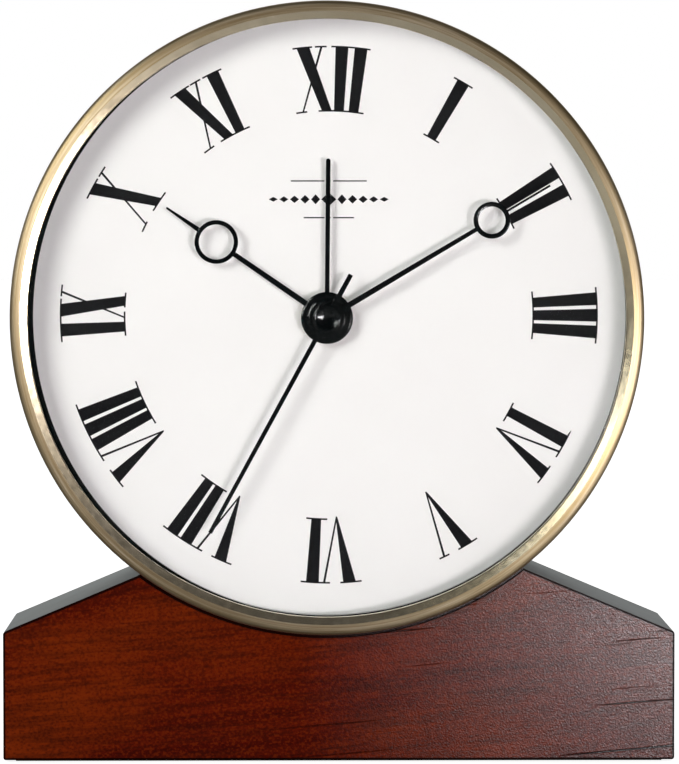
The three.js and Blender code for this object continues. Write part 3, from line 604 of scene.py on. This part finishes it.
coverLook = {"radius": 74.0, "inner": 50.0, "recess": 48.0, "floorFront": -7.3, "floorBack": -9.3,
             "rimFront": -15.1, "rimBack": -17.1, "rounding": 0.5, "beyond": 1.0, "screwCircle": 71.0,
             "timeKnob": (18.61, 9.31), "timeHole": 2.4, "alarmKnob": (21.73, -5.82), "alarmHole": 2.1,
             "batteryUp": -19.5, "batteryHalf": (26, 7.5), "ledgeHalf": (27, 8.5), "ledgeDepth": 1.3,
             "switchAcross": (-20.4, -12.6), "switchUp": (3.2, 6.8),
             "slots": 4, "slotAcross": (-42, -32), "slotUp": (-4.8, -3.2), "slotPitch": 4, "slotRounding": 0.75}
look = coverLook
coverProfile = soften([
    (0, look["floorFront"]), (look["inner"], look["floorFront"]), (look["inner"], look["rimFront"]),
    (look["radius"], look["rimFront"]), (look["radius"], look["rimBack"]), (look["recess"], look["rimBack"]),
    (look["recess"], look["floorBack"]), (0, look["floorBack"])], look["rounding"], isOpen=True)
cover = objectOf("back_cover", [turned(coverProfile, 192, isOpen=True)])
through = (look["floorBack"] - look["beyond"], look["floorFront"] + look["beyond"])
up = look["batteryUp"]
(wide, high), (ledgeWide, ledgeHigh) = look["batteryHalf"], look["ledgeHalf"]
tools = [box((-wide, wide), (up - high, up + high), through),
         box((-ledgeWide, ledgeWide), (up - ledgeHigh, up + ledgeHigh),
             (through[0], look["floorBack"] + look["ledgeDepth"])),
         box(look["switchAcross"], look["switchUp"], through)]
for centre, radius in ((look["timeKnob"], look["timeHole"]), (look["alarmKnob"], look["alarmHole"])):
    tools.append(turned([(0, through[0]), (radius, through[0]), (radius, through[1]), (0, through[1])],
                        32, centre, isOpen=True))
(left, right), (low, high) = look["slotAcross"], look["slotUp"]
for row in range(look["slots"]):
    lift = row * look["slotPitch"]
    ends = soften([(left, low + lift), (right, low + lift), (right, high + lift), (left, high + lift)],
                  look["slotRounding"])
    tools.append(slab(ends, *through))
cutAway(cover, tools)
finishPiece(cover, finishes["black_plastic"], "clock", ["rear_cover"], "black_plastic")

screwLook = {"tip": -12.8, "shank": 1.2, "seat": -17.2, "head": 2.6, "side": -17.9, "top": 1.9, "crown": -18.6,
             "slotWide": 0.55, "slotLong": 1.5, "slotDeep": 0.8, "rounding": 0.3, "sides": 48}
for number, direction in enumerate((45, 135, 225, 315), 1):
    centre = (coverLook["screwCircle"] * math.cos(math.radians(direction)),
              coverLook["screwCircle"] * math.sin(math.radians(direction)))
    look = screwLook
    profile = soften([(0, look["tip"]), (look["shank"], look["tip"]), (look["shank"], look["seat"]),
                      (look["head"], look["seat"]), (look["head"], look["side"]), (look["top"], look["crown"]),
                      (0, look["crown"])], look["rounding"], isOpen=True)
    screw = objectOf(f"back_screw_{number}", [turned(profile, look["sides"], centre, isOpen=True)])
    wide, long = screwLook["slotWide"] / 2, screwLook["slotLong"]
    deep = (screwLook["crown"] - 0.5, screwLook["crown"] + screwLook["slotDeep"])
    cross = [(-wide, -long), (wide, -long), (wide, -wide), (long, -wide), (long, wide), (wide, wide),
             (wide, long), (-wide, long), (-wide, wide), (-long, wide), (-long, -wide), (-wide, -wide)]
    cutAway(screw, [slab(np.array(cross) + centre, *deep)])
    finishPiece(screw, finishes["steel"], "clock", [f"cover_screw_{number}"], "steel")

# Fluted grips over the two knobs.
gripLook = {"time_knob": {"centre": coverLook["timeKnob"], "radius": 7.35, "flutes": 28},
            "alarm_knob": {"centre": coverLook["alarmKnob"], "radius": 4.95, "flutes": 20}}
gripShape = {"dish": 2.2, "dishOut": -16.2, "crownInner": 1.7, "crownOuter": 0.7, "crownOut": -16.75,
             "shoulder": -16.0, "front": -9.95, "rounding": 0.3, "fluteDepth": 0.35, "stepsPerFlute": 10}
shape = gripShape
for body, look in gripLook.items():
    r = look["radius"]
    profile = soften([(0, shape["dishOut"]), (r - shape["dish"], shape["dishOut"]),
                      (r - shape["crownInner"], shape["crownOut"]), (r - shape["crownOuter"], shape["crownOut"]),
                      (r, shape["shoulder"]), (r, shape["front"]), (0, shape["front"])],
                     shape["rounding"], isOpen=True)
    addPiece(body + "_grip", [turned(profile, look["flutes"] * shape["stepsPerFlute"], look["centre"], isOpen=True,
                                     flutes=look["flutes"], fluteDepth=shape["fluteDepth"])],
             finishes["black_plastic"], body, slot="black_plastic", sharp=50)


# A copy of a frame piece, its loose triangles merged and its edges rounded.
def roundedCopy(name, nodeName, slot, edge):
    source = frame["nodes"][nodeName]
    piece = bpy.data.objects.new(name, source.data.copy())
    scene.collection.objects.link(piece)
    piece.data.materials.clear()
    work = bmesh.new()
    work.from_mesh(piece.data)
    bmesh.ops.remove_doubles(work, verts=work.verts, dist=1e-6)
    bmesh.ops.dissolve_limit(work, angle_limit=math.radians(1), verts=work.verts, edges=work.edges)
    work.to_mesh(piece.data)
    work.free()
    return finishPiece(piece, finishes[slot], source["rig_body"], [nodeName], slot, edge=edge)


roundedCopy("battery_cover", "battery_door", "black_plastic", 0.2)
roundedCopy("alarm_slider", "alarm_switch", "black_plastic", 0.2)
print("case made")


printLook = {"centre": (0.55, 0.5), "outer": 67.5, "inner": 51.05, "apex": 50.6, "serif": 0.42, "stroke": 2.75,
             "thin": 0.5, "under": 0.02, "thickHigh": 0.030, "thinHigh": 0.026, "serifHigh": 0.034,
             "thinShort": 0.3, "crossTop": 5.2, "crossFoot": 0.6}

# Letters that come to a point: V, and its mirror image A. Angles in degrees from the letter's left side.
pointedLetters = {"V": {"thickAt": 0, "thinAt": 6.65, "join": 3.6, "before": 0.1, "after": 0.35},
                  "A": {"thickAt": 4.55, "thinAt": 0, "join": 3.55, "before": 0.25, "after": 0.2}}

# Letters of each numeral as (letter, left side, lean) in degrees from its hour, then the serifs outside and inside.
numerals = {
    12: ([("X", -7.0, 5.1), ("I", 1.4), ("I", 5.5)],
         [(-7.8, -3.6), (-3.0, -0.5), (0.5, 8.9)], [(-9.2, -6.1), (-2.9, 9.7)]),
    1: ([("I", -1.4)], [(-2.3, 2.3)], [(-2.5, 2.5)]),
    2: ([("I", -3.6), ("I", 0.75)], [(-4.55, 4.55)], [(-4.9, 4.9)]),
    3: ([("I", -4.95), ("I", -1.4), ("I", 2.2)], [(-6.05, 6.05)], [(-6.7, 6.7)]),
    4: ([("I", -3.25), ("A", 0.35)], [(-4.4, 2.0), (4.25, 8.8)], [(-4.6, 1.25)]),
    5: ([("V", -2.4)], [(-3.6, 1.1), (3.25, 5.6)], []),
    6: ([("V", -5.8), ("I", 2.2)], [(-7.0, -2.4), (-0.2, 6.1)], [(0.5, 6.4)]),
    7: ([("V", -7.4), ("I", 1.0), ("I", 4.5)], [(-8.6, -3.9), (-1.7, 8.25)], [(0.1, 8.75)]),
    8: ([("V", -8.6), ("I", -0.25), ("I", 3.2), ("I", 6.7)], [(-9.8, -5.2), (-2.9, 10.6)], [(-1.9, 11.25)]),
    9: ([("I", -4.5), ("X", -0.3, 3.1)], [(-5.7, 3.6), (4.1, 6.6)], [(-5.7, 1.1), (2.25, 6.4)]),
    10: ([("X", -3.25, 5.65)], [(-4.2, 0.6), (1.1, 3.6)], [(-5.9, -2.7), (0.75, 7.0)]),
    11: ([("X", -5.1, 4.5), ("I", 2.9)], [(-6.1, -1.4), (-1.1, 1.4), (1.9, 6.4)], [(-7.5, -4.1), (-1.9, 7.25)]),
}


# A stroke between two arcs: its sides run straight from (outer angle, outer radius) to (inner angle, inner radius).
def stroke(hour, outerSide, innerSide, outer, inner, height, steps=7):
    t = np.linspace(0, 1, steps)
    angle = np.radians(hour * 30 + np.concatenate([
        outerSide[0] + (outerSide[1] - outerSide[0]) * t, innerSide[1] + (innerSide[0] - innerSide[1]) * t]))
    radius = np.repeat([outer, inner], steps)
    outline = np.stack([radius * np.sin(angle), radius * np.cos(angle)], axis=1) + printLook["centre"]
    return slab(outline, dialFront - printLook["under"], dialFront + height)


def letterStrokes(hour, letter, left, lean=0.0):
    look = printLook
    outer, inner, apex, wide, thin = look["outer"], look["inner"], look["apex"], look["stroke"], look["thin"]
    thickHigh, thinHigh = look["thickHigh"], look["thinHigh"]
    if letter == "I":
        return [stroke(hour, (left, left + wide), (left, left + wide), outer, inner, thickHigh)]
    if letter in pointedLetters:
        shape = pointedLetters[letter]
        join = left + shape["join"]
        point = (join - shape["before"], join + shape["after"])
        thickAt, thinAt = left + shape["thickAt"], left + shape["thinAt"]
        return [stroke(hour, (thickAt, thickAt + wide), point, outer, apex, thickHigh),
                stroke(hour, (thinAt, thinAt + thin), point, outer, apex + look["thinShort"], thinHigh)]
    top, foot = left + look["crossTop"], left - look["crossFoot"]
    return [stroke(hour, (left, left + wide), (left + lean, left + lean + wide), outer, inner, thickHigh),
            stroke(hour, (top, top + thin), (foot, foot + thin), outer, inner, thinHigh)]


for hour, (letters, outerSerifs, innerSerifs) in numerals.items():
    shells = []
    for letter in letters:
        shells += letterStrokes(hour, *letter)
    outer, inner, serif, high = (printLook[key] for key in ("outer", "inner", "serif", "serifHigh"))
    shells += [stroke(hour, side, side, outer, outer - serif, high) for side in outerSerifs]
    shells += [stroke(hour, side, side, inner + serif, inner, high) for side in innerSerifs]
    addPiece(f"numeral_{hour}", shells, printInk, "clock", slot="black_paint")

# A plain ornament: a row of leaves either side of a lozenge, with a rule above and below.
ornamentLook = {"across": 0.5, "up": 29.6, "lozenge": (1.9, 1.75), "leafLong": 2.3, "leafHalf": 1.25,
                "leaves": 5, "ruleUp": 4.6, "upperRule": 9.5, "lowerRule": 6.3, "ruleHalf": 0.16,
                "leafStart": 3.3, "leafGap": 0.35, "leafShrink": 0.13, "ruleGap": 1.1, "ruleMark": 0.55}
printRange = (dialFront - printLook["under"], dialFront + printLook["thickHigh"])


def lozenge(across, up, halfWide, halfHigh):
    corners = [(across - halfWide, up), (across, up - halfHigh), (across + halfWide, up), (across, up + halfHigh)]
    return slab(corners, *printRange)


def ornament(look):
    middle, up = look["across"], look["up"]
    shells = [lozenge(middle, up, *look["lozenge"])]
    for side in (-1, 1):
        for number in range(look["leaves"]):
            at = middle + side * (look["leafStart"] + number * (look["leafLong"] + look["leafGap"]))
            half = look["leafHalf"] * (1 - look["leafShrink"] * number)
            shells.append(lozenge(at, up, look["leafLong"] / 2, half))
    for height, half in ((look["ruleUp"], look["upperRule"]), (-look["ruleUp"], look["lowerRule"])):
        for side in (-1, 1):
            ends = sorted((middle + side * look["ruleGap"], middle + side * half))
            shells.append(box(ends, (up + height - look["ruleHalf"], up + height + look["ruleHalf"]), printRange))
        shells.append(lozenge(middle, up + height, look["ruleMark"], look["ruleMark"]))
    return shells


addPiece("dial_ornament", ornament(ornamentLook), printInk, "clock", slot="black_paint")
print("dial printed")


handLook = {
    "alarm": {"back": 16.6, "length": 39.8, "angle": 0.5, "hub": 5.2, "bore": 3.32, "half": 0.58},
    "hour": {"back": 18.0, "length": 48.6, "angle": 304.5, "ringAt": 33.5, "ring": (4.35, 5.45), "hub": 6.5,
             "bore": 2.62, "stem": (0.75, 0.62), "needle": (0.62, 0.25)},
    "minute": {"back": 19.4, "length": 64.7, "angle": 59.3, "ringAt": 47.8, "ring": (3.4, 4.6), "hub": 4.9,
               "bore": 1.82, "stem": (0.75, 0.54), "needle": (0.3, 0.27)},
    "second": {"back": 20.8, "length": 61.0, "angle": 208.6, "tail": 12.4, "cap": 3.6, "capHigh": 1.2,
               "ridgeAt": 3.1, "ridgeRound": 1.0, "ridgeTop": 1.45, "ridgeTurn": 30,
               "ridgeInner": 2.6, "half": (0.6, 0.52),
               "tailWider": 1.15},
    "thickness": 0.6, "inset": 0.02, "overlap": 0.4, "edge": 0.08,
}


def taper(startHalf, endHalf, start, end):
    return [(-startHalf, start), (startHalf, start), (endHalf, end), (-endHalf, end)]


def handBar(look, corners):
    front = look["back"] + handLook["thickness"] - handLook["inset"]
    return slab(clockwise(corners, look["angle"]), look["back"] + handLook["inset"], front)


# The outer edge has a slight slope, wide enough to see on the hubs.
def flatRing(inner, outer, back, front, centre=(0, 0), sides=96, slope=0.14):
    corners = [(inner, back), (outer, back), (outer, front - 0.24 * slope), (outer - slope, front), (inner, front)]
    return turned(soften(corners, 0.08), sides, centre)


for name in ("hour", "minute"):
    look = handLook[name]
    back, front = look["back"], look["back"] + handLook["thickness"]
    middle = sum(look["ring"]) / 2
    ringCentre = clockwise([(0, look["ringAt"])], look["angle"])[0]
    shells = [handBar(look, taper(*look["stem"], look["bore"] + handLook["overlap"],
                                  look["ringAt"] - middle)),
              handBar(look, taper(*look["needle"], look["ringAt"] + middle, look["length"])),
              flatRing(*look["ring"], back, front, ringCentre),
              flatRing(look["bore"], look["hub"], back, front, slope=0.5)]
    addPiece(name + "_pointer", shells, finishes["black_paint"], name + "_hand", [name + "_hand"], "black_paint",
             edge=handLook["edge"])

look = handLook["alarm"]
back, front = look["back"], look["back"] + handLook["thickness"]
t = np.linspace(0, np.pi, 17)
tip = np.stack([look["half"] * np.cos(t), look["length"] - look["half"] + look["half"] * np.sin(t)], axis=1)
start = look["bore"] + handLook["overlap"]
pointer = np.vstack([[(-look["half"], start), (look["half"], start)], tip])
addPiece("alarm_pointer", [handBar(look, pointer), flatRing(look["bore"], look["hub"], back, front)],
         finishes["black_paint"], "alarm_hand", ["alarm_hand"], "black_paint", edge=handLook["edge"])

look = handLook["second"]
back = look["back"]
# The cap carries a ring, rounded in section to the radius ridgeRound.
t = np.radians(np.linspace(look["ridgeTurn"], -look["ridgeTurn"], 11))
ridge = np.stack([look["ridgeAt"] + look["ridgeRound"] * np.sin(t),
                  back + look["ridgeTop"] - look["ridgeRound"] * (1 - np.cos(t))], axis=1)
capOut = back + look["capHigh"]
cap = np.vstack([[(0, back), (look["cap"], back), (look["cap"], capOut)], ridge,
                 [(look["ridgeInner"], capOut), (0, capOut)]])
bars = [handBar(look, taper(*look["half"], 0, look["length"])),
        handBar(look, taper(look["half"][0], look["half"][0] * look["tailWider"], -look["tail"], 0)[::-1])]
addPiece("second_pointer", bars + [turned(cap, 96, isOpen=True)], finishes["black_paint"], "second_hand",
         ["second_hand"], "black_paint", edge=handLook["edge"])
print("hands made")


floorLook = {"half": 6, "colour": 0.88, "mirrored": 0.40, "roughness": 0.9, "specular": 0.1, "glow": 0.88}
half = floorLook["half"]
floorMesh = bpy.data.meshes.new("floor")
floorMesh.from_pydata([(-half, -half, 0), (half, -half, 0), (half, half, 0), (-half, half, 0)], [], [(0, 1, 2, 3)])
floor = bpy.data.objects.new("floor", floorMesh)
scene.collection.objects.link(floor)

# Pale floor: to the eye it is a little brighter than its own light, so that only the contact shadow shows.
paleFloor, tree, shader, place = newFinish("paleFloor")
rays = node(tree, "ShaderNodeLightPath")
colour = mixColour(tree, rays.outputs["Is Glossy Ray"], (*[floorLook["colour"]] * 3, 1),
                   (*[floorLook["mirrored"]] * 3, 1))
tree.links.new(colour, shader.inputs["Base Color"])
shader.inputs["Roughness"].default_value = floorLook["roughness"]
shader.inputs["Specular IOR Level"].default_value = floorLook["specular"]
shader.inputs["Emission Color"].default_value = (1, 1, 1, 1)
glow = node(tree, "ShaderNodeMath", {0: rays.outputs["Is Camera Ray"], 1: floorLook["glow"]},
            operation="MULTIPLY")
tree.links.new(glow.outputs[0], shader.inputs["Emission Strength"])
floorMesh.materials.append(paleFloor)

lightLook = {
    "upperLeft": {"at": (-0.466, -0.95, 0.347), "size": (0.42, 0.42), "power": 2.9,
                  "colour": (0.985, 1.015, 0.985)},
    "right": {"at": (0.235, -0.90, 0.045), "size": (0.26, 0.08), "power": 2.55, "colour": (1.0, 0.96, 0.99)},
}
aim = Vector((caseX, 0, caseUp))
for name, look in lightLook.items():
    data = bpy.data.lights.new(name, "AREA")
    data.shape, data.energy, data.color = "ELLIPSE", look["power"], look["colour"]
    data.size, data.size_y = look["size"]
    lamp = bpy.data.objects.new(name, data)
    lamp.location = look["at"]
    lamp.rotation_euler = (aim - lamp.location).to_track_quat("-Z", "Y").to_euler()
    scene.collection.objects.link(lamp)

# Dim room in front, white backdrop behind, which also lights the tops and the back. Reflections show it dimmer.
worldLook = {"front": (0.055, 0.055, 0.057, 1), "behind": (1, 1, 1, 1), "from": 0.05, "to": 0.55,
             "mirrored": 0.35}
world = bpy.data.worlds.new("studio")
scene.world = world
world.use_nodes = True
tree = world.node_tree
towards = node(tree, "ShaderNodeSeparateXYZ", {0: node(tree, "ShaderNodeTexCoord").outputs["Generated"]}).outputs[1]
backdrop = ranged(tree, towards, 0, 1, worldLook["from"], worldLook["to"])
rays = node(tree, "ShaderNodeLightPath")
inMirrors = ranged(tree, rays.outputs["Is Glossy Ray"], 1, worldLook["mirrored"])
dimmed = node(tree, "ShaderNodeMath", {0: backdrop, 1: inMirrors}, operation="MULTIPLY").outputs[0]
share = node(tree, "ShaderNodeMath", {0: dimmed, 1: rays.outputs["Is Camera Ray"]}, operation="MAXIMUM").outputs[0]
tree.links.new(mixColour(tree, share, worldLook["front"], worldLook["behind"]),
               tree.nodes["Background"].inputs["Color"])
scene.view_settings.view_transform = "Standard"

cameraLook = {"at": (-0.0117, -1.0871, 0.1416), "aim": (0.0001, -0.021, 0.0952), "lens": 201.7}
cameraData = bpy.data.cameras.new("camera")
cameraData.lens, cameraData.sensor_width, cameraData.clip_start = cameraLook["lens"], 36.0, 0.01
camera = bpy.data.objects.new("camera", cameraData)
camera.location = cameraLook["at"]
camera.rotation_euler = (Vector(cameraLook["aim"]) - camera.location).to_track_quat("-Z", "Y").to_euler()
scene.collection.objects.link(camera)
scene.camera = camera
print("setting made")
